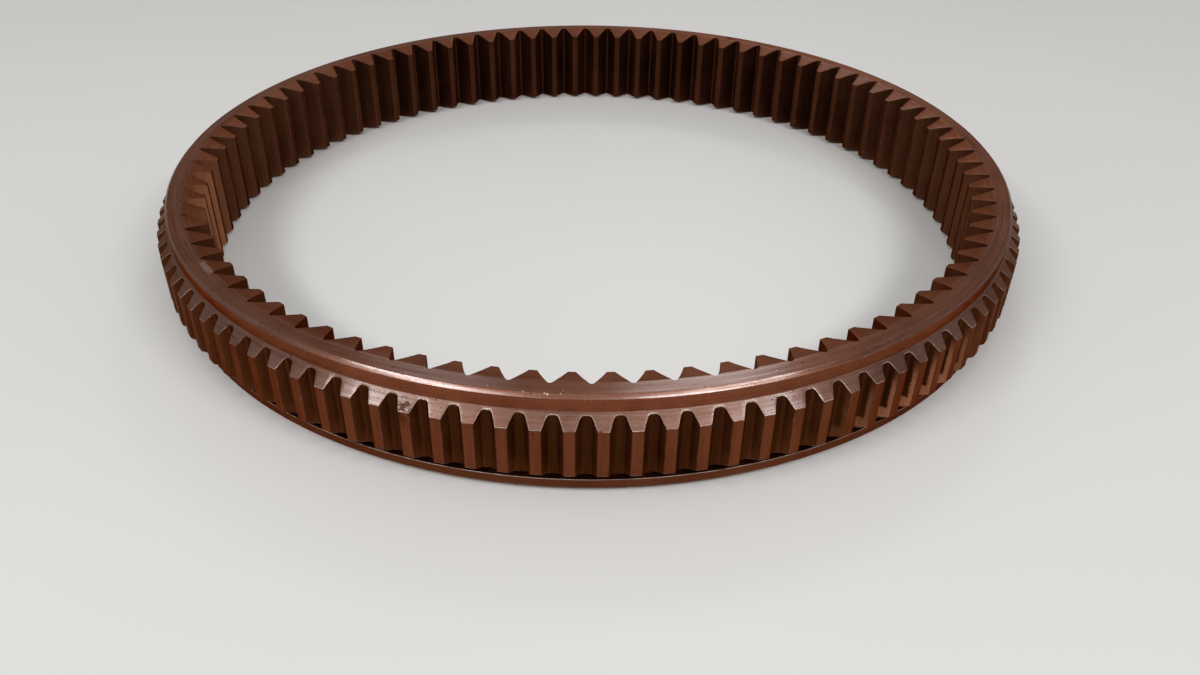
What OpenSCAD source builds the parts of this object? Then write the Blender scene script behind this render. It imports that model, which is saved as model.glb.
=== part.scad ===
// Ring gear: involute teeth inside, coarse straight teeth outside, one piece of steel.
// Lengths are in millimetres and angles in degrees. The axis of the gear is Z and its
// lower face lies on z = 0. An internal tooth points at the axis along +X, and an outer
// tooth space is centred on +X.

/* [Overall] */
// Height between the two end faces
ring_height = 25; // [17:0.5:60]
// Solid wall between the internal roots and the outer roots
rim_wall = 4.65; // [3.5:0.05:15]

/* [Internal teeth] */
// Number of internal teeth
inner_teeth = 84; // [66:1:140]
// Module, which is the pitch diameter divided by the number of internal teeth
inner_module = 2.54; // [2:0.02:3.5]
// Pressure angle of the involute flanks
pressure_angle = 25; // [20:0.5:27]
// Height of a tooth inside the pitch circle
inner_addendum = 2.54; // [1.5:0.01:3]
// Radius of the full round at the root of each tooth space
inner_root_round = 0.7; // [0.2:0.05:0.9]
// Width of the flat that breaks the two long edges of each tooth tip
inner_tip_break = 0.12; // [0.05:0.01:0.3]
// Slope of the tooth ends, down from the end faces
inner_end_slope = 15; // [5:1:40]
// How far inside the root circle that slope starts
inner_end_inset = 0.45; // [0.1:0.05:2]

/* [Outer teeth] */
// Number of outer teeth
outer_teeth = 110; // [60:1:132]
// Depth of a tooth from tip to root
outer_depth = 2.5; // [1.5:0.02:2.9]
// Width of a tooth's tip, its two broken edges included
outer_land = 2.48; // [1.5:0.02:3.2]
// Angle between a flank and the middle line of its space
outer_flank_angle = 25; // [5:0.5:27]
// Radius of the two corners at the bottom of each space
outer_root_corner = 0.55; // [0.2:0.05:1.5]
// Width of the flat that breaks the two long edges of each tooth tip
outer_tip_break = 0.15; // [0.05:0.01:0.3]
// Slope of the upper tooth ends
outer_top_slope = 41; // [20:1:60]
// Slope of the lower tooth ends
outer_bottom_slope = 28; // [10:1:45]

/* [Neck] */
// Distance from the upper face down to the foot of the neck
neck_length = 3.8; // [2:0.1:6]
// How far the neck is inside the outer root circle
neck_step = 0.52; // [0.3:0.02:1.5]
// Chamfer round the top of the neck
neck_chamfer = 0.8; // [0.3:0.1:1.5]
// Radius at the foot of the neck
neck_foot_round = 0.4; // [0.1:0.05:0.6]

/* [Groove and lip] */
// Height of the lip under the groove
lip_height = 3.85; // [2.5:0.05:5]
// How far the lip is inside the outer root circle
lip_step = 0.22; // [0.2:0.02:1]
// Chamfer round the lower face
lip_chamfer = 1.8; // [0.5:0.1:2]
// Width of the groove between the lip and the teeth
groove_width = 1.9; // [1:0.1:3]
// Depth of the groove, in from the lip
groove_depth = 1.6; // [0.5:0.1:2.2]

/* [Hidden] */
$fn = 240;

// Straight steps along one involute flank, round half of an inner root,
// round one outer corner and round the foot of the neck
flank_steps = 3;
inner_root_steps = 3;
corner_steps = 3;
foot_steps = 4;
// Overshoot of the cutters past the two end faces
past = 1;

// Internal gear. The angles of a tooth space are seen from the axis, from its middle line.
pitch_radius = inner_module * inner_teeth / 2;
base_radius = pitch_radius * cos(pressure_angle);
inner_tip_radius = pitch_radius - inner_addendum;
space_half_at_base = 90 / inner_teeth + involute(pressure_angle);
// The root round touches both flanks. An involute moved sideways is the same involute,
// turned, so the centre of the round is where the turned one meets the middle line.
root_centre_angle = flank_angle_for(space_half_at_base - to_degrees(inner_root_round / base_radius));
root_centre_radius = base_radius / cos(root_centre_angle);
root_touch_angle = atan(tan(root_centre_angle) + inner_root_round / base_radius);
root_touch_radius = base_radius / cos(root_touch_angle);
root_touch_side = 90 + space_half_at_base - to_degrees(tan(root_touch_angle));
inner_root_radius = root_centre_radius + inner_root_round;
inner_end_radius = inner_root_radius - inner_end_inset;
inner_end_drop = (inner_end_radius - inner_tip_radius) * tan(inner_end_slope);

// Outside radii
outer_root_radius = inner_root_radius + rim_wall;
outer_tip_radius = outer_root_radius + outer_depth;
neck_radius = outer_root_radius - neck_step;
lip_radius = outer_root_radius - lip_step;
groove_radius = lip_radius - groove_depth;

// Heights on the outside
groove_top = lip_height + groove_width;
outer_bottom = groove_top + outer_depth * tan(outer_bottom_slope);
foot_height = ring_height - neck_length;
outer_top = foot_height - (outer_tip_radius - neck_radius) * tan(outer_top_slope);

// Outer tooth space: half of its width where the broken edges start, and at the root
outer_pitch = 360 / outer_teeth;
outer_edge_half = outer_tip_radius * sin(outer_pitch / 2) - outer_land / 2;
outer_root_half = outer_edge_half - (outer_depth - outer_tip_break) * tan(outer_flank_angle);
// A corner turns from the flank to the root, and its radius is limited by the root's width
corner_turn = 90 - outer_flank_angle;
corner_round = min(outer_root_corner, outer_root_half / tan(corner_turn / 2));

function to_degrees(radians) = radians * 180 / PI;

function at_angle(radius, angle) = [radius * cos(angle), radius * sin(angle)];

function backwards(points) = [for (i = [len(points) - 1:-1:0]) points[i]];

// Outline whose other half is the mirror image of the points given, in the X axis
function both_sides(points) = concat(points, [for (p = backwards(points)) [p.x, -p.y]]);

// Involute function of an angle, in degrees
function involute(angle) = to_degrees(tan(angle)) - angle;

// Angle that has the involute value given, found by halving an interval
function flank_angle_for(value, low = 0, high = 60, turns = 40) =
    let (middle = (low + high) / 2)
    turns == 0 ? middle
    : involute(middle) < value ? flank_angle_for(value, middle, high, turns - 1)
    : flank_angle_for(value, low, middle, turns - 1);

// Point on the involute flank of the internal space that is centred on +X
function flank_point(radius) =
    at_angle(radius, space_half_at_base - involute(acos(base_radius / radius)));

// Arc of a given radius about a centre, in equal steps from one angle to another
function arc(centre, radius, from, to, steps) =
    [for (i = [0:steps]) centre + at_angle(radius, from + (to - from) * i / steps)];

// Half of an internal tooth space, outwards: broken tip edge, involute flank, root round
flank_start = inner_tip_radius + inner_tip_break;
inner_side = concat(
    [flank_point(flank_start) + 2 * inner_tip_break * [-1, 1]],
    [for (i = [0:flank_steps - 1])
        flank_point(flank_start + (root_touch_radius - flank_start) * i / flank_steps)],
    arc([root_centre_radius, 0], inner_root_round, root_touch_side, 0, inner_root_steps));

// Half of an outer tooth space, inwards: broken tip edge, straight flank, root corner
outer_side = concat(
    [[outer_tip_radius + outer_tip_break, outer_edge_half + 2 * outer_tip_break],
     [outer_tip_radius - outer_tip_break, outer_edge_half]],
    arc([outer_root_radius + corner_round, outer_root_half - corner_round * tan(corner_turn / 2)],
        corner_round, 90 + outer_flank_angle, 180, corner_steps));

// Arc that joins the upright neck to the sloping ends of the outer teeth
foot_turn = 90 - outer_top_slope;
foot_arc = arc(
    [neck_radius + neck_foot_round, foot_height + neck_foot_round * tan(foot_turn / 2)],
    neck_foot_round, 180 + foot_turn, 180, foot_steps);

// The turned ring, before any tooth is cut
module blank() {
    rotate_extrude()
        polygon(concat(
            [[inner_tip_radius, inner_end_drop],
             [inner_end_radius, 0],
             [lip_radius - lip_chamfer, 0],
             [lip_radius, lip_chamfer],
             [lip_radius, lip_height],
             [groove_radius, lip_height],
             [groove_radius, groove_top],
             [outer_root_radius, groove_top],
             [outer_tip_radius, outer_bottom],
             [outer_tip_radius, outer_top]],
            foot_arc,
            [[neck_radius, ring_height - neck_chamfer],
             [neck_radius - neck_chamfer, ring_height],
             [inner_end_radius, ring_height],
             [inner_tip_radius, ring_height - inner_end_drop]]));
}

// Cutter for the tooth space that has the half outline given and is centred on +X
module space_cutter(side) {
    translate([0, 0, -past])
        linear_extrude(ring_height + 2 * past)
            polygon(both_sides(side));
}

module ring_gear() {
    color([0.36, 0.24, 0.2])
        difference() {
            blank();
            for (i = [0:inner_teeth - 1])
                rotate((i + 0.5) * 360 / inner_teeth)
                    space_cutter(inner_side);
            for (i = [0:outer_teeth - 1])
                rotate(i * outer_pitch)
                    space_cutter(outer_side);
        }
}

ring_gear();
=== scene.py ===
"""An internal ring gear of dark machined steel, standing on its lower face on a pale floor."""

import bpy
import numpy as np
from mathutils import Matrix, Vector


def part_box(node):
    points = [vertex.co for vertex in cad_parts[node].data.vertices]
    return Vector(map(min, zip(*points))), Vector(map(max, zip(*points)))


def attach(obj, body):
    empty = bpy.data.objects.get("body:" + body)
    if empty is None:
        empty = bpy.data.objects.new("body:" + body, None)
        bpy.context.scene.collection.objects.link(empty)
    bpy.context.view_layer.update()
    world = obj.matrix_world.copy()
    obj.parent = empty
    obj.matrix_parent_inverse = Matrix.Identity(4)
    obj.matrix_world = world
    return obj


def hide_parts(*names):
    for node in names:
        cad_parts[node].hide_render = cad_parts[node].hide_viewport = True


MM = 0.001

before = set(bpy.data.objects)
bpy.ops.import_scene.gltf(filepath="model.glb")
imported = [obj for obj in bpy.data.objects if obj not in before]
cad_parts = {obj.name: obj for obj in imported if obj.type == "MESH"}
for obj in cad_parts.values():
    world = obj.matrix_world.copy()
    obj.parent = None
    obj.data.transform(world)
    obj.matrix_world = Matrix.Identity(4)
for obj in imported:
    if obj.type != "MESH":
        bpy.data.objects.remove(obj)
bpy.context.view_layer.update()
_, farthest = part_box("ring_gear")

# Lengths are in millimetres unless a comment says otherwise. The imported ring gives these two.
HEIGHT = farthest.z / MM
TIP_RADIUS = farthest.y / MM

# Internal teeth
INNER_TEETH = 84
INNER_MODULE = 2.54
PRESSURE_ANGLE = np.radians(25)
INNER_ROOT_ROUND = 0.7
INNER_TIP_BREAK = 0.12
INNER_END_SLOPE = np.tan(np.radians(15))
INNER_END_INSET = 0.45
# Outer teeth
OUTER_TEETH = 110
OUTER_DEPTH = 2.5
OUTER_LAND = 2.48
FLANK_ANGLE = np.radians(25)
ROOT_CORNER = 0.95
OUTER_TIP_BREAK = 0.15
TOP_SLOPE = np.tan(np.radians(41))
BOTTOM_SLOPE = np.tan(np.radians(28))
ROOT_RADIUS = TIP_RADIUS - OUTER_DEPTH
# Neck, with a radius at its foot
NECK_LENGTH = 3.8
NECK_STEP = 0.52
NECK_CHAMFER = 0.8
NECK_RADIUS = ROOT_RADIUS - NECK_STEP
FOOT_ROUND = 0.4
FOOT_HEIGHT = HEIGHT - NECK_LENGTH
# Lip, and the groove between it and the teeth
LIP_HEIGHT = 3.85
LIP_STEP = 0.22
LIP_CHAMFER = 1.8
LIP_RADIUS = ROOT_RADIUS - LIP_STEP
GROOVE_WIDTH = 1.9
GROOVE_DEPTH = 1.6
GROOVE_FILLET = 0.15
GROOVE_TOP = LIP_HEIGHT + GROOVE_WIDTH
GROOVE_RADIUS = LIP_RADIUS - GROOVE_DEPTH
# Width of the broken edges on the turned faces, on the lip under the groove and on the tooth ends
TURNED_EDGE = 0.06
LIP_EDGE = 1.6 * TURNED_EDGE
TOOTH_EDGE = 0.08
# Flank patches in a copper tone: the first is a rubbed hook on the outer flanks, which is wear and also
# painted sheen, and the others are painted sheen on internal flanks that face the front. Each has the
# bearing of its middle, its reach and the way that it faces, all in degrees, and its strength
WEAR_AND_SHEEN_PATCHES = [
    # Rubbed hooks on outer flanks at the front right, painted sheen as well
    (-50, 13, -118, 1.0),
    # Painted highlight on internal flanks on the left
    (194, 13, -52, 1.0),
    # Painted sheen on internal flanks that face the front, on the left and on the right
    (162, 40, -85, 0.3),
    (10, 45, -105, 0.25),
]
# How steeply a patch fades towards its reach, the cosine of the turn from its direction at which a
# flank starts to take the patch, and the further cosine over which that becomes full
PATCH_FADE = 1.6
FACING_START = 0.76
FACING_SPAN = 0.2


# ------------------------------------------------------------------ outlines of the teeth

def involute(angle):
    """Involute function: the tangent of an angle less the angle itself, in radians."""
    return np.tan(angle) - angle


def polar(radius, angle):
    """Points of the plane from a radius and an angle in radians."""
    return np.stack(np.broadcast_arrays(radius * np.cos(angle), radius * np.sin(angle)), axis=-1)


def broken_tip(edge, radius, middle, direction):
    """The flat at 45 degrees from a flank's edge to the tip circle, and the land up to the middle.

    A point at a run t along the direction lies on the circle where |edge + t direction| = radius.
    """
    half = edge @ direction / 2
    away = (radius ** 2 - edge @ edge) / 2
    run = -half + np.sign(half) * np.sqrt(half ** 2 + away)
    tip = edge + run * direction
    tip_angle = np.arctan2(tip[1], tip[0])
    return np.concatenate([[tip], polar(radius, np.array([(tip_angle + middle) / 2, middle]))])


def outer_half_outline(corner_steps=6):
    """Half of an outer tooth space, from its middle line on +X to the middle of the tooth.

    The root is flat, and a corner of constant radius turns it into the straight flank.
    """
    half_pitch = np.pi / OUTER_TEETH
    edge_half = TIP_RADIUS * np.sin(half_pitch) - OUTER_LAND / 2
    root_half = edge_half - (OUTER_DEPTH - OUTER_TIP_BREAK) * np.tan(FLANK_ANGLE)
    turn = np.pi / 2 - FLANK_ANGLE
    corner = min(ROOT_CORNER, root_half / np.tan(turn / 2))
    centre = np.array([ROOT_RADIUS + corner, root_half - corner * np.tan(turn / 2)])
    arc = centre + polar(corner, np.linspace(np.pi, np.pi - turn, corner_steps + 1))
    edge = np.array([TIP_RADIUS - OUTER_TIP_BREAK, edge_half])
    return np.concatenate([arc, [edge], broken_tip(edge, TIP_RADIUS, half_pitch, np.array([1, 1]))])


def inner_half_outline(root_steps=5, flank_steps=4):
    """Half of an internal tooth space, from its middle line on +X to the middle of the tooth.

    The flank is an involute: at a radius r it lies back by the involute of acos(base / r). The
    root is a full round that touches both flanks, so its centre is where the involute that is
    turned by the round's radius over the base radius meets the middle line.
    """
    half_pitch = np.pi / INNER_TEETH
    pitch_radius = INNER_MODULE * INNER_TEETH / 2
    base = pitch_radius * np.cos(PRESSURE_ANGLE)
    tip_radius = pitch_radius - INNER_MODULE
    half_at_base = half_pitch / 2 + involute(PRESSURE_ANGLE)
    angle = PRESSURE_ANGLE
    for _ in range(20):
        miss = half_at_base - INNER_ROOT_ROUND / base - involute(angle)
        angle += miss / np.tan(angle) ** 2
    touch = np.arctan(np.tan(angle) + INNER_ROOT_ROUND / base)
    side = np.pi / 2 + half_at_base - np.tan(touch)
    centre = np.array([base / np.cos(angle), 0])
    arc = centre + polar(INNER_ROOT_ROUND, np.linspace(0, side, root_steps + 1))
    radii = np.linspace(base / np.cos(touch), tip_radius + INNER_TIP_BREAK, flank_steps + 1)[1:]
    flank = polar(radii, half_at_base - involute(np.arccos(base / radii)))
    tip = broken_tip(flank[-1], tip_radius, half_pitch, np.array([-1, 1]))
    return np.concatenate([arc, flank, tip])


def all_round(half, teeth, turn=0.0):
    """The closed outline of a half outline: mirrored about its middle line and repeated.

    A pitch runs from the middle of one tooth to the next one, without the point that they share.
    """
    mirror = half[:0:-1] * [1, -1]
    starts_on_middle = abs(half[0, 1]) < 1e-9
    first_point = half[:0] if starts_on_middle else half[:1] * [1, -1]
    pitch = np.concatenate([mirror[1:], first_point, half])
    angles = turn + np.arange(teeth) * 2 * np.pi / teeth
    cosine, sine = np.cos(angles)[:, None], np.sin(angles)[:, None]
    x, y = pitch[:, 0], pitch[:, 1]
    return np.stack([x * cosine - y * sine, x * sine + y * cosine], axis=-1).reshape(-1, 2)


def inset(outline, distance):
    """The outline moved to its left by a distance, with mitred corners.

    A corner moves along the sum of its two sides' left normals, as far as makes both sides move
    by the distance.
    """
    before = outline - np.roll(outline, 1, axis=0)
    after = np.roll(outline, -1, axis=0) - outline
    before /= np.linalg.norm(before, axis=1, keepdims=True)
    after /= np.linalg.norm(after, axis=1, keepdims=True)
    left = np.stack([-after[:, 1], after[:, 0]], axis=1)
    middle = left + np.stack([-before[:, 1], before[:, 0]], axis=1)
    middle /= (middle * left).sum(axis=1, keepdims=True)
    return outline + middle * np.reshape(distance, (-1, 1))


# ------------------------------------------------------------------ the ring as one surface

FINISHES = [
    "face", "chamfer", "side", "tooth_end", "land", "flank", "root",
    "inner_end", "inner_land", "inner_flank",
    "edge", "dull_edge", "turned_edge", "upright_edge",
    "lip", "lip_edge", "groove",
]
# How close to a tip circle a point counts as on it
ON_CIRCLE = 0.02
# How far the root finish reaches up the flanks from the root circle
ROOT_REACH = 0.25
# How far inside the root circle the groove's upper wall passes from the teeth to a plain circle
WALL_MARGIN = 0.3
# Rows of points round the inside: margin of the flat faces outside the internal roots, half width of
# the bend where the tooth ends start to slope, and how far that bend is kept outside the outline
FACE_MARGIN = 0.6
BEND = 0.1
BEND_CLEAR = 0.04


def uneven(angle):
    """How far an edge was broken along the ring: 1 on average, with slow and quick waves."""
    return 1 + 0.1 * sum(np.sin(count * angle + count) for count in (7, 17, 41, 97))


def circle_row(radius, height, angle):
    """A turned circle: at each angle, the radius times its cosine and its sine, at one height."""
    return np.stack(np.broadcast_arrays(radius * np.cos(angle), radius * np.sin(angle), height), axis=-1)


def outline_row(outline, height):
    """The points of an outline, each at its own height."""
    return np.concatenate([outline, np.broadcast_to(height, len(outline))[:, None]], axis=1)


def outer_rows():
    """Rows of points from the upper face down the outside to the lower face.

    Each row comes with the finish of the strip above it. The ends of the teeth are cones, so the
    height of a tooth's outline is worked out from its radius.
    """
    outline = all_round(outer_half_outline(), OUTER_TEETH)
    angle = np.arctan2(outline[:, 1], outline[:, 0])
    radius = np.linalg.norm(outline, axis=1)
    edge = TOOTH_EDGE * uneven(angle)
    inner = inset(outline, edge)
    inner_radius = np.linalg.norm(inner, axis=1)

    def top(r):
        """Height of the upper cone at a radius."""
        return FOOT_HEIGHT - (r - NECK_RADIUS) * TOP_SLOPE

    def bottom(r):
        """Height of the lower cone at a radius, level inside the root circle."""
        return GROOVE_TOP + np.maximum(r - ROOT_RADIUS, 0) * BOTTOM_SLOPE

    lowest = np.minimum(radius, np.roll(radius, -1))
    highest = np.maximum(radius, np.roll(radius, -1))
    on_land = lowest > TIP_RADIUS - ON_CIRCLE
    on_break = ~on_land & (highest > TIP_RADIUS - ON_CIRCLE)
    on_root = highest < ROOT_RADIUS + ROOT_REACH
    wall = np.select([on_land, on_break, on_root], ["land", "upright_edge", "root"], "flank")
    turn = np.pi / 2 - np.arctan(TOP_SLOPE)
    foot = [(NECK_RADIUS + FOOT_ROUND * (1 - np.cos(a)),
             FOOT_HEIGHT + FOOT_ROUND * (np.tan(turn / 2) - np.sin(a)))
            for a in np.linspace(0, turn, 5)]
    # A broken edge, its run along a slope of 45 degrees, the lip's edge and the groove's fillet
    e = TURNED_EDGE * uneven(angle)
    d = e * np.sqrt(0.5)
    lip = LIP_EDGE * uneven(angle)
    g = GROOVE_FILLET
    rows = [
        ("face", circle_row(NECK_RADIUS - NECK_CHAMFER - e, HEIGHT, angle)),
        ("turned_edge", circle_row(NECK_RADIUS - NECK_CHAMFER + d, HEIGHT - d, angle)),
        ("chamfer", circle_row(NECK_RADIUS - d, HEIGHT - NECK_CHAMFER + d, angle)),
        ("turned_edge", circle_row(NECK_RADIUS, HEIGHT - NECK_CHAMFER - e, angle)),
    ]
    foot_finishes = ["side", "side", "tooth_end", "tooth_end", "tooth_end"]
    rows += [(finish, circle_row(r, z, angle)) for finish, (r, z) in zip(foot_finishes, foot)]
    rows += [
        ("tooth_end", outline_row(inner, top(inner_radius))),
        ("edge", outline_row(outline, top(radius) - edge)),
        (wall, outline_row(outline, bottom(radius) + edge)),
        ("edge", outline_row(inner, bottom(inner_radius))),
        ("groove", circle_row(ROOT_RADIUS - WALL_MARGIN, GROOVE_TOP, angle)),
        ("groove", circle_row(GROOVE_RADIUS + g, GROOVE_TOP, angle)),
        ("groove", circle_row(GROOVE_RADIUS, GROOVE_TOP - g, angle)),
        ("groove", circle_row(GROOVE_RADIUS, LIP_HEIGHT + g, angle)),
        ("groove", circle_row(GROOVE_RADIUS + g, LIP_HEIGHT, angle)),
        ("lip", circle_row(LIP_RADIUS - lip, LIP_HEIGHT, angle)),
        ("lip_edge", circle_row(LIP_RADIUS, LIP_HEIGHT - lip, angle)),
        ("lip", circle_row(LIP_RADIUS, LIP_CHAMFER + e, angle)),
        ("turned_edge", circle_row(LIP_RADIUS - d, LIP_CHAMFER - d, angle)),
        ("lip", circle_row(LIP_RADIUS - LIP_CHAMFER + d, d, angle)),
        ("turned_edge", circle_row(LIP_RADIUS - LIP_CHAMFER - e, 0, angle)),
    ]
    return rows, angle


def inner_rows():
    """Rows of points from the upper face down the inside to the lower face.

    The lower half mirrors the upper one. The ends of the teeth fall away towards their tips, and
    the break in slope is kept just outside the outline where a root reaches past it.
    """
    outline = all_round(inner_half_outline(), INNER_TEETH, np.pi / INNER_TEETH)
    angle = np.arctan2(outline[:, 1], outline[:, 0])
    radius = np.linalg.norm(outline, axis=1)
    start = radius.max() - INNER_END_INSET
    edge = TOOTH_EDGE * uneven(angle)
    inner = inset(outline, -edge)
    inner_radius = np.linalg.norm(inner, axis=1)

    def drop(r):
        """How far a tooth's end lies behind the face at a radius."""
        return np.maximum(start - r, 0) * INNER_END_SLOPE

    before = np.maximum(start + BEND, inner_radius + 2 * BEND_CLEAR)
    after = np.maximum(start - BEND, inner_radius + BEND_CLEAR)
    down = [
        circle_row(radius.max() + FACE_MARGIN, 0, angle),
        circle_row(before, drop(before), angle),
        circle_row(after, drop(after), angle),
        outline_row(inner, drop(inner_radius)),
        outline_row(outline, drop(radius) + edge),
    ]
    on_land = np.maximum(radius, np.roll(radius, -1)) < radius.min() + ON_CIRCLE
    wall = np.where(on_land, "inner_land", "inner_flank")
    finishes = ["face", "face", "face", "inner_end", "dull_edge", wall,
                "dull_edge", "inner_end", "face", "face"]
    upper = [row * [1, 1, -1] + [0, 0, HEIGHT] for row in down]
    return list(zip(finishes, upper + down[::-1])), angle


def strips(rows, first):
    """Faces between each row of points and the next all the way round, and each face's finish."""
    count = len(rows[0][1])
    here = np.arange(count)
    after = np.roll(here, -1)
    faces, finishes = [], []
    for i, (finish, _) in enumerate(rows[1:]):
        upper, lower = first + i * count, first + (i + 1) * count
        faces.append(np.stack([upper + here, lower + here, lower + after, upper + after], axis=1))
        finishes.append(np.broadcast_to(finish, count))
    return np.concatenate(faces), np.concatenate(finishes)


def zipper(inner_angle, inner_first, outer_angle, outer_first):
    """Triangles between two circles of a flat face whose points lie at different angles.

    Each point makes a triangle with the point before it on its own circle and with the last
    point passed on the other circle.
    """
    inner_order, outer_order = np.argsort(inner_angle), np.argsort(outer_angle)
    a, b = inner_angle[inner_order], outer_angle[outer_order]
    outer_passed = outer_order[np.searchsorted(b, a, side="right") - 1]
    inner_passed = inner_order[np.searchsorted(a, b, side="left") - 1]
    from_inner = np.stack([inner_first + np.roll(inner_order, 1), outer_first + outer_passed,
                           inner_first + inner_order], axis=1)
    from_outer = np.stack([outer_first + np.roll(outer_order, 1), outer_first + outer_order,
                           inner_first + inner_passed], axis=1)
    return np.concatenate([from_inner, from_outer])


def surface_normals(points, quads, triangles):
    """Normals at the points: the sum of the area vectors of the faces around each.

    The area vector is the cross product of a quad's diagonals or of a triangle's two sides.
    """
    normals = np.zeros_like(points)
    quad_area = np.cross(points[quads[:, 2]] - points[quads[:, 0]],
                         points[quads[:, 3]] - points[quads[:, 1]])
    tri_area = np.cross(points[triangles[:, 1]] - points[triangles[:, 0]],
                        points[triangles[:, 2]] - points[triangles[:, 0]])
    for faces, area in ((quads, quad_area), (triangles, tri_area)):
        for corner in range(faces.shape[1]):
            np.add.at(normals, faces[:, corner], area)
    return normals / np.linalg.norm(normals, axis=1, keepdims=True)


def wear_and_sheen_places(points, normals):
    """How strongly the patches of wear and painted sheen lie on the flanks, from 0 to 1.

    A patch fades from its bearing to its reach along the ring, and it lies only on the flanks
    whose normals point within about 40 degrees of its own direction, fully so within 16.
    """
    bearing = np.degrees(np.arctan2(points[:, 1], points[:, 0]))
    total = np.zeros(len(points))
    for centre, reach, facing, strength in WEAR_AND_SHEEN_PATCHES:
        away = np.abs((bearing - centre + 180) % 360 - 180) / reach
        direction = np.array([np.cos(np.radians(facing)), np.sin(np.radians(facing)), 0])
        turned_to = np.clip((normals @ direction - FACING_START) / FACING_SPAN, 0, 1)
        total += strength * np.clip(PATCH_FADE - PATCH_FADE * away, 0, 1) * turned_to
    return total


def ring_surface():
    """The closed surface: the outside, the inside and the two flat faces between them.

    Gives the points in metres, the quads, the triangles, and the finish of each quad and triangle.
    """
    outside, outer_angle = outer_rows()
    inside, inner_angle = inner_rows()
    inside_first = len(outside) * len(outer_angle)
    points = np.concatenate([row for _, row in outside + inside]) * MM
    outer_faces, outer_finish = strips(outside, 0)
    inner_faces, inner_finish = strips(inside, inside_first)
    quads = np.concatenate([outer_faces, inner_faces[:, ::-1]])
    last_outside = (len(outside) - 1) * len(outer_angle)
    last_inside = inside_first + (len(inside) - 1) * len(inner_angle)
    upper_face = zipper(inner_angle, inside_first, outer_angle, 0)
    lower_face = zipper(inner_angle, last_inside, outer_angle, last_outside)[:, ::-1]
    triangles = np.concatenate([upper_face, lower_face])
    finish = np.concatenate([outer_finish, inner_finish, np.full(len(triangles), "face")])
    return points, quads, triangles, finish


def make_ring(materials):
    """The ring as one mesh, with each face in its finish and smooth light across the small faces."""
    points, quads, triangles, finish = ring_surface()
    corners = np.concatenate([quads.ravel(), triangles.ravel()])
    sizes = np.concatenate([np.full(len(quads), 4), np.full(len(triangles), 3)])
    mesh = bpy.data.meshes.new("ring_gear_steel")
    mesh.vertices.add(len(points))
    mesh.vertices.foreach_set("co", points.ravel())
    mesh.loops.add(len(corners))
    mesh.loops.foreach_set("vertex_index", corners)
    mesh.polygons.add(len(sizes))
    mesh.polygons.foreach_set("loop_start", np.cumsum(sizes) - sizes)
    for name in FINISHES:
        mesh.materials.append(materials[name])
    mesh.polygons.foreach_set("material_index", np.array([FINISHES.index(name) for name in finish]))
    mesh.polygons.foreach_set("use_smooth", np.ones(len(sizes), bool))
    mesh.update(calc_edges=True)
    mesh.validate()
    normals = surface_normals(points, quads, triangles)
    mesh.normals_split_custom_set_from_vertices(normals)
    # Weights of the flank patches of wear and painted sheen, at each point
    wear_and_sheen = mesh.attributes.new("wear_and_sheen", "FLOAT", "POINT")
    wear_and_sheen.data.foreach_set("value", wear_and_sheen_places(points, normals))
    ring = bpy.data.objects.new("ring_gear_machined", mesh)
    bpy.context.scene.collection.objects.link(ring)
    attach(ring, "root")
    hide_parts("ring_gear")


# ------------------------------------------------------------------ shader arithmetic

class Value:
    """A number inside a material. Arithmetic on it adds Math nodes."""

    def __init__(self, shader, socket):
        self.shader, self.socket = shader, socket

    def math(self, operation, other):
        """This number and another through a Math node."""
        return self.shader.node("ShaderNodeMath", {"operation": operation}, self, other)

    def __add__(self, other):
        return self.math("ADD", other)

    def __sub__(self, other):
        return self.math("SUBTRACT", other)

    def __mul__(self, other):
        return self.math("MULTIPLY", other)

    def __truediv__(self, other):
        return self.math("DIVIDE", other)

    def __rsub__(self, other):
        return self.shader.node("ShaderNodeMath", {"operation": "SUBTRACT"}, other, self)

    __radd__ = __add__
    __rmul__ = __mul__

    def between(self, start, end):
        """0 below the start, 1 above the end, with a smooth step between them."""
        settings = {"interpolation_type": "SMOOTHSTEP"}
        return self.shader.node("ShaderNodeMapRange", settings, self, start, end)


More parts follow.
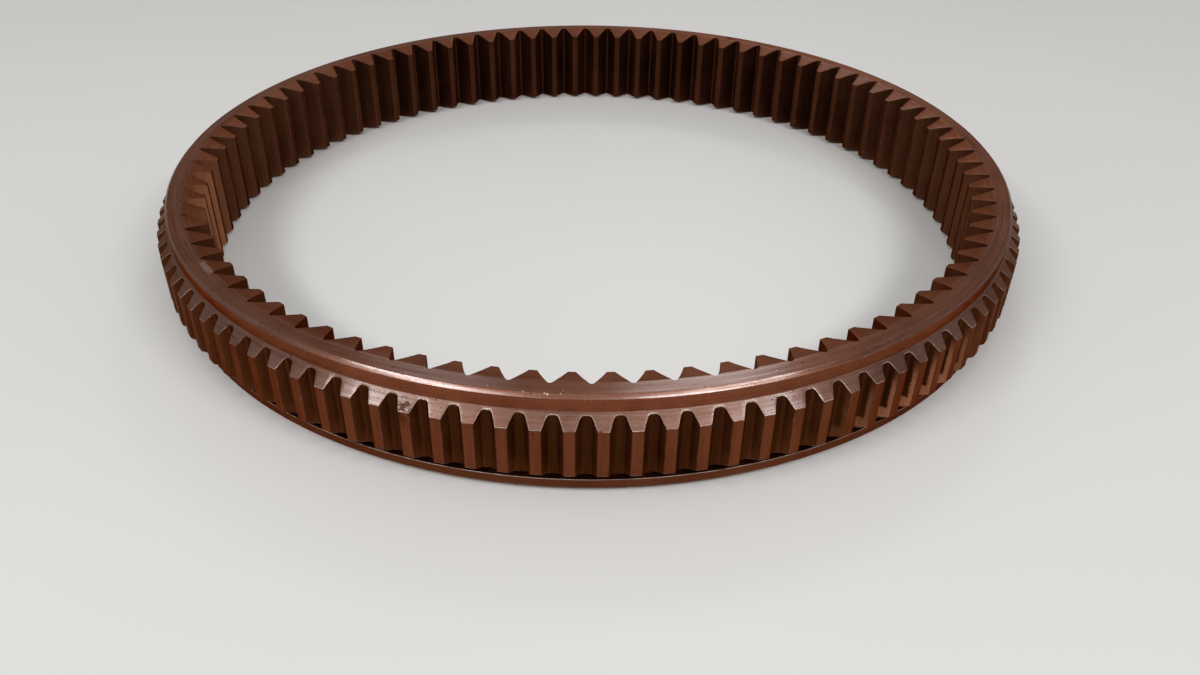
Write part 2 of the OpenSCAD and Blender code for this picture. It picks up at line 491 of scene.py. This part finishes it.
class Shader:
    """One material's nodes, with its Principled surface."""

    def __init__(self, name):
        self.material = bpy.data.materials.new(name)
        self.material.use_nodes = True
        self.tree = self.material.node_tree
        self.surface = self.tree.nodes["Principled BSDF"]
        self.place = self.node("ShaderNodeTexCoord", {}, output="Object")

    def node(self, kind, settings, *inputs, output=0, **named):
        """Adds a node with its settings, then its inputs by order or by name. Gives one output."""
        made = self.tree.nodes.new(kind)
        for key, value in settings.items():
            setattr(made, key, value)
        sockets = [(made.inputs[i], value) for i, value in enumerate(inputs)]
        sockets += [(made.inputs[name.replace("_", " ")], value) for name, value in named.items()]
        for socket, value in sockets:
            self.feed(socket, value)
        return Value(self, made.outputs[output])

    def feed(self, socket, value):
        """Links a value to a socket, or sets a constant on it. None leaves it as it is."""
        if isinstance(value, Value):
            self.tree.links.new(value.socket, socket)
        elif value is not None:
            socket.default_value = value

    def vector(self, operation, *inputs, output=0):
        """Vector arithmetic: a direction or a place, or a number where the output is named."""
        return self.node("ShaderNodeVectorMath", {"operation": operation}, *inputs, output=output)

    def noise(self, place, scale, detail, roughness):
        """Noise about 0.5, with so many waves to a metre."""
        return self.node("ShaderNodeTexNoise", {}, Vector=place, Scale=scale, Detail=detail,
                         Roughness=roughness)

    def mix(self, amount, first, second):
        """Colour that goes from the first to the second as the amount goes from 0 to 1."""
        made = self.tree.nodes.new("ShaderNodeMix")
        made.data_type = "RGBA"
        for name, value in (("Factor_Float", amount), ("A_Color", first), ("B_Color", second)):
            socket = next(s for s in made.inputs if s.identifier == name)
            self.feed(socket, (*value, 1) if isinstance(value, tuple) else value)
        return Value(self, next(s for s in made.outputs if s.identifier == "Result_Color"))

    def set(self, **values):
        """Feeds sockets of the surface by name, with _ for a space."""
        for name, value in values.items():
            self.feed(self.surface.inputs[name.replace("_", " ")], value)

    def bump(self, height, depth):
        """Relief whose height goes from 0 to 1 over a depth in metres."""
        self.set(Normal=self.node("ShaderNodeBump", {}, Height=height, Strength=1.0,
                                  Distance=depth, output="Normal"))


# ------------------------------------------------------------------ finishes of the steel

# Tint of what the bare steel reflects at a low angle
EDGE_TINT = (0.52, 0.35, 0.26)
BARE_STEEL = (0.62, 0.49, 0.44)
BRIGHT_SPECK = (0.80, 0.72, 0.68)
# Copper tone of the flank patches: painted sheen, and on the rubbed hooks wear as well
WEAR_AND_SHEEN_TONE = (0.50, 0.20, 0.10)
STAIN_TONE = (0.050, 0.024, 0.014)
# Tones of the edges where the brown film is still on them
DULL_EDGE = (0.120, 0.044, 0.025)
UPRIGHT_TONE = (0.075, 0.025, 0.011)
TURNED_TONE = (0.200, 0.078, 0.045)
# Relief of the broken edges, in millimetres
EDGE_RELIEF = 0.03
# Finishes on which the patches of wear and painted sheen are hook-shaped, with painted shade on the rest
# of the patch: a stripe along the tooth's tip and a round toe.
# The stripe's width, the heights over which it fades out, and how far the toe's middle lies in from
# the tip and above the lower face, in millimetres
HOOKED = ("flank", "root")
STRIPE_WIDTH = 1.2
STRIPE_FADE = (20.0, 13.0)
TOE_INSET = 1.6
TOE_HEIGHT = 7.6
# Marks that handling left: angle in degrees, radius, height and reach. Bright nicks lie round the
# chamfer, a smear near the internal roots is polished by rubbing, and a few spots are stained dark.
NICKS = [
    (-94.6, 113.2, 25.0, 0.24),
    (-92.5, 113.2, 25.0, 0.30),
    (-92.2, 113.4, 24.8, 0.24),
    (-90.9, 113.2, 25.0, 0.26),
    (-126.6, 113.3, 25.0, 0.26),
    (-125.3, 113.3, 25.0, 0.22),
    (-123.4, 113.4, 25.0, 0.22),
    (-56.6, 112.8, 25.0, 0.16),
    (-54.6, 112.9, 25.0, 0.20),
    (-51.2, 112.6, 25.0, 0.22),
]
POLISHED = [(angle, 110.2, 25.0, 1.0) for angle in np.linspace(-142.3, -139.8, 5)]
STAINS = [
    (-106.3, 115.8, 19.3, 1.8),
    (-106.4, 117.0, 17.0, 1.7),
    (-97.1, 117.0, 12.3, 0.6),
    (20.5, 117.0, 13.0, 2.0),
    (64.0, 112.0, 25.0, 2.6),
    (112.0, 114.0, 22.5, 2.4),
    (151.0, 116.0, 19.0, 2.2),
]


def around_axis(shader):
    """The direction from the axis to a place, and its radius and height in millimetres."""
    flat = shader.vector("MULTIPLY", shader.place, (1, 1, 0))
    radius = shader.vector("LENGTH", flat, output="Value") / MM
    height = shader.node("ShaderNodeSeparateXYZ", {}, shader.place, output="Z") / MM
    return shader.vector("NORMALIZE", flat), radius, height


def turned_marks(shader, across, along, roughness):
    """Noise that runs round the axis, with so many marks to a millimetre across it.

    The direction from the axis is scaled by a small number, and the radius and the height, which
    are the third and fourth dimensions, by a large one.
    """
    outward, radius, height = around_axis(shader)
    place = shader.vector("ADD", shader.vector("SCALE", outward, None, None, along),
                          shader.node("ShaderNodeCombineXYZ", {}, Z=radius * across))
    return shader.node("ShaderNodeTexNoise", {"noise_dimensions": "4D"}, Vector=place,
                       W=height * across, Scale=1.0, Detail=3, Roughness=roughness)


def cut_marks(shader, across, along, roughness):
    """Noise that runs along the teeth, with so many marks to a metre across them and along them."""
    stretched = shader.vector("MULTIPLY", shader.place, (across, across, along))
    return shader.noise(stretched, 1, 3, roughness)


def tool_marks(shader, marks):
    """Fine and broad tool marks, round the axis where a face is turned and upright where it is cut."""
    if marks == "turned":
        fine = turned_marks(shader, 4.2, 5, 0.7).between(0.3, 0.7)
        broad = turned_marks(shader, 1.5, 2, 0.65).between(0.3, 0.7)
    else:
        fine = cut_marks(shader, 2600, 60, 0.7).between(0.25, 0.75)
        broad = cut_marks(shader, 700, 30, 0.6).between(0.3, 0.7)
    return fine, broad


def near(shader, marks, rough_edge):
    """1 inside any of the marks and 0 outside them, with a ragged border between.

    A point's distance from a mark is counted in reaches.
    """
    total = 0.0
    for angle, radius, height, reach in marks:
        a = np.radians(angle)
        centre = (radius * np.cos(a) * MM, radius * np.sin(a) * MM, height * MM)
        distance = shader.vector("DISTANCE", shader.place, centre, output="Value")
        total = total + (distance / (reach * MM) + rough_edge).between(1.1, 0.3)
    return total


def ragged_noise(shader):
    """Fine noise about zero, for the borders of marks."""
    return (shader.noise(shader.place, 1100, 3, 0.7) - 0.5) * 4


def hooked_patch(shader, ragged):
    """A stripe along a flank's outer edge that fades upwards, with a round toe towards the root.

    The toe's rim is where the squares of the way outwards and upwards from its middle add up to 2.
    """
    _, radius, height = around_axis(shader)
    beyond = radius - (TIP_RADIUS - STRIPE_WIDTH)
    stripe = (beyond + ragged * 0.2).between(0.0, 0.4) * height.between(*STRIPE_FADE)
    outwards = radius - (TIP_RADIUS - TOE_INSET)
    upwards = height - TOE_HEIGHT
    toe = (outwards * outwards + upwards * upwards + ragged * 0.4).between(2.6, 1.4)
    return stripe.math("MAXIMUM", toe)


def steel(name, dark, light, roughness, marks, relief, oil, wear):
    """Dark machined steel under a thin film of oil.

    Two tones in slow clouds and in streaks along the tool marks, with pits and small bright
    specks. The film is a smooth coat that is thinner on the ridges of the marks. Light spreads
    across the marks more than along them. The listed flank patches go to a copper tone as painted
    sheen. On the flanks and roots that tone keeps to a rubbed hook, which is wear as well, and the
    rest of the patch is darkened as painted shade.
    """
    shader = Shader(name)
    clouds = shader.noise(shader.place, 55, 5, 0.62).between(0.34, 0.66)
    fine, broad = tool_marks(shader, marks)
    grain = shader.noise(shader.place, 2200, 3, 0.7).between(0.3, 0.7)
    tone = clouds * 0.36 + broad * 0.20 + fine * 0.30 + grain * 0.14
    colour = shader.mix(tone.between(0.1, 0.9), dark, light)
    ragged = ragged_noise(shader)
    # Weight of the listed flank patches of wear and painted sheen
    wear_and_sheen = shader.node("ShaderNodeAttribute", {"attribute_name": "wear_and_sheen"}, output="Fac")
    if name in HOOKED:
        # Painted shade: the flanks and roots go darker over the whole patch
        colour = shader.mix(wear_and_sheen * 0.6, colour, tuple(0.5 * c for c in dark))
        wear_and_sheen = wear_and_sheen * hooked_patch(shader, ragged)
    # Painted sheen in a copper tone over the patch, kept to a rubbed hook on the flanks and roots
    colour = shader.mix(wear_and_sheen * (0.55 + fine * 0.4), colour, WEAR_AND_SHEEN_TONE)
    specks = shader.noise(shader.place, 1900, 0, 0.5).between(0.88, 0.90)
    elsewhere = shader.vector("ADD", shader.place, (0.7, 0.3, 0.1))
    pits = shader.noise(elsewhere, 1400, 0, 0.5).between(0.82, 0.85)
    stains = near(shader, STAINS, ragged)
    nicks = near(shader, NICKS, ragged)
    polished = near(shader, POLISHED, ragged * 0.2)
    colour = shader.mix(pits * 0.8, colour, tuple(0.25 * c for c in dark))
    colour = shader.mix(stains * (0.25 + grain * 0.4), colour, STAIN_TONE)
    colour = shader.mix(polished * (0.2 + fine * 0.3), colour, BARE_STEEL)
    colour = shader.mix(specks * wear + nicks * grain, colour, BRIGHT_SPECK)
    shader.set(Base_Color=colour, Metallic=1.0, Specular_Tint=(*EDGE_TINT, 1),
               Roughness=roughness + (fine - 0.5) * 0.10 + (clouds - 0.5) * 0.08 + stains * 0.15,
               Anisotropic=0.6, Anisotropic_Rotation=0.25 if marks == "turned" else 0.0)
    if oil:
        film = 0.6 + (broad - 0.5) * 0.36 + (fine - 0.5) * 0.6 + (grain - 0.5) * 0.3 - pits
        shader.set(Coat_Weight=film * (1 - stains) * oil, Coat_Roughness=0.16, Coat_IOR=2.0)
    shader.bump(fine * 0.8 + broad * 0.5 + grain * 0.2 - pits * 2.0 - nicks * 2.0, relief * MM)
    return shader.material


def broken_edge(name, tone, start, wear_and_sheen):
    """Edges where the brown film is rubbed off to bright steel, more in some places than others.

    A lower start makes more of the edge bright.
    """
    shader = Shader(name)
    patches = shader.noise(shader.place, 180, 4, 0.65).between(start, start + 0.24)
    nicks = shader.noise(shader.place, 1400, 2, 0.6).between(0.5, 0.7)
    bare = (patches * 0.7 + nicks * 0.3) * wear_and_sheen + near(shader, NICKS, ragged_noise(shader))
    colour = shader.mix(bare, tone, BARE_STEEL)
    shader.set(Base_Color=colour, Metallic=1.0, Roughness=0.42 - patches * 0.10,
               Specular_Tint=(*EDGE_TINT, 1))
    shader.bump(nicks, EDGE_RELIEF * MM)
    return shader.material


def make_finishes():
    """The materials by finish.

    Each kind of steel has its dark and light tone, its roughness, its tool marks with their relief
    in millimetres, the weight of its oil film, and how bright its specks of wear are.
    """
    kinds = {
        "face": ((0.172, 0.056, 0.026), (0.255, 0.094, 0.052), 0.42, "turned", 0.012, 0.48, 0.5),
        "chamfer": ((0.165, 0.054, 0.028), (0.250, 0.102, 0.063), 0.45, "turned", 0.012, 0.72, 0.5),
        "side": ((0.160, 0.045, 0.018), (0.245, 0.073, 0.032), 0.36, "turned", 0.012, 0.08, 0.1),
        "tooth_end": ((0.162, 0.072, 0.049), (0.266, 0.142, 0.106), 0.48, "turned", 0.030, 0.34, 0.4),
        "land": ((0.122, 0.034, 0.012), (0.188, 0.054, 0.023), 0.40, "cut", 0.012, 0.05, 0.2),
        # Flanks and roots darker than the lands, the roots darkest: painted shade in the tooth spaces
        "flank": ((0.070, 0.020, 0.007), (0.132, 0.040, 0.014), 0.50, "cut", 0.015, 0.0, 0.1),
        "root": ((0.046, 0.014, 0.005), (0.088, 0.027, 0.009), 0.50, "cut", 0.015, 0.0, 0.1),
        "inner_end": ((0.170, 0.058, 0.031), (0.252, 0.098, 0.060), 0.50, "turned", 0.012, 0.08, 0.2),
        # Lands and flanks of the internal teeth much darker than their ends: painted shade inside the
        # ring
        "inner_land": ((0.050, 0.016, 0.007), (0.094, 0.031, 0.014), 0.48, "cut", 0.015, 0.0, 0.1),
        "inner_flank": ((0.055, 0.018, 0.008), (0.105, 0.035, 0.017), 0.48, "cut", 0.015, 0.0, 0.1),
        "lip": ((0.102, 0.029, 0.011), (0.162, 0.049, 0.021), 0.40, "turned", 0.012, 0.05, 0.1),
        # Groove darkest of all: painted shade in the recess
        "groove": ((0.040, 0.014, 0.007), (0.080, 0.028, 0.015), 0.50, "turned", 0.010, 0.0, 0.0),
    }
    finishes = {name: steel(name, *kind) for name, kind in kinds.items()}
    finishes["edge"] = broken_edge("broken_edge", DULL_EDGE, 0.38, 1.0)
    finishes["turned_edge"] = broken_edge("turned_edge", TURNED_TONE, 0.54, 0.8)
    finishes["dull_edge"] = broken_edge("dull_edge", DULL_EDGE, 0.55, 0.3)
    finishes["upright_edge"] = broken_edge("upright_edge", UPRIGHT_TONE, 0.55, 0.3)
    finishes["lip_edge"] = broken_edge("lip_edge", DULL_EDGE, 0.30, 1.0)
    return finishes


# ------------------------------------------------------------------ floor, light and camera

def make_floor():
    """A large pale floor with a faint mottle."""
    shader = Shader("pale_floor")
    cloud = shader.noise(shader.place, 6, 3, 0.5)
    shader.set(Base_Color=shader.mix(cloud, (0.74, 0.73, 0.71), (0.80, 0.79, 0.77)), Roughness=0.45)
    corners = [(-6, -6, 0), (6, -6, 0), (6, 6, 0), (-6, 6, 0)]
    mesh = bpy.data.meshes.new("floor")
    mesh.from_pydata(corners, [], [(0, 1, 2, 3)])
    mesh.materials.append(shader.material)
    floor = bpy.data.objects.new("floor", mesh)
    bpy.context.scene.collection.objects.link(floor)


def softbox(name, bearing, rise, distance, width, height, power, aim):
    """A rectangular lamp seen from the aim point at a bearing from +X and a rise from the floor.

    Its distance, width and height are in metres, and its power is in watts.
    """
    a, e = np.radians(bearing), np.radians(rise)
    away = Vector((np.cos(e) * np.cos(a), np.cos(e) * np.sin(a), np.sin(e)))
    lamp = bpy.data.lights.new(name, "AREA")
    lamp.shape = "RECTANGLE"
    lamp.size = width
    lamp.size_y = height
    lamp.energy = power
    box = bpy.data.objects.new(name, lamp)
    facing = away.to_track_quat("Z", "Y").to_matrix().to_4x4()
    box.matrix_world = Matrix.Translation(aim + away * distance) @ facing
    bpy.context.scene.collection.objects.link(box)


def make_light():
    """A white room and four softboxes.

    The long ones in front light the chamfer and the outer tooth ends. The small ones behind lay
    a sheen on the upper face.
    """
    world = bpy.data.worlds.new("studio")
    world.use_nodes = True
    room = world.node_tree.nodes["Background"]
    room.inputs["Color"].default_value = (1, 1, 1, 1)
    room.inputs["Strength"].default_value = 0.36
    bpy.context.scene.world = world
    front = Vector((0, -TIP_RADIUS * MM, HEIGHT * MM))
    softbox("left_softbox", -134, 45, 1.2, 0.84, 0.15, 6.4, front)
    softbox("right_softbox", -50.5, 46, 1.2, 0.82, 0.15, 6.4, front)
    softbox("rear_right_softbox", 82, 36.5, 1.5, 0.24, 0.20, 1.0, front)
    softbox("rear_left_softbox", 103, 36.5, 1.5, 0.20, 0.20, 0.25, front)


def make_camera():
    """A wide lens close to the ring, a little right of its middle, that looks down at it."""
    lens = bpy.data.cameras.new("camera")
    lens.sensor_width = 36
    lens.lens = 30.06
    lens.clip_start = 0.01
    lens.shift_x = 0.0183
    lens.shift_y = 0.0119
    camera = bpy.data.objects.new("camera", lens)
    place = Matrix.Translation(Vector((7.05, -265.11, 142.46)) * MM)
    heading = Matrix.Rotation(np.radians(2.08), 4, "Z")
    tilt = Matrix.Rotation(np.radians(90 - 35.29), 4, "X")
    roll = Matrix.Rotation(np.radians(0.17), 4, "Z")
    camera.matrix_world = place @ (heading @ tilt @ roll)
    bpy.context.scene.collection.objects.link(camera)
    bpy.context.scene.camera = camera


make_camera()
make_floor()
make_light()
make_ring(make_finishes())

bpy.context.scene.view_settings.view_transform = "Standard"
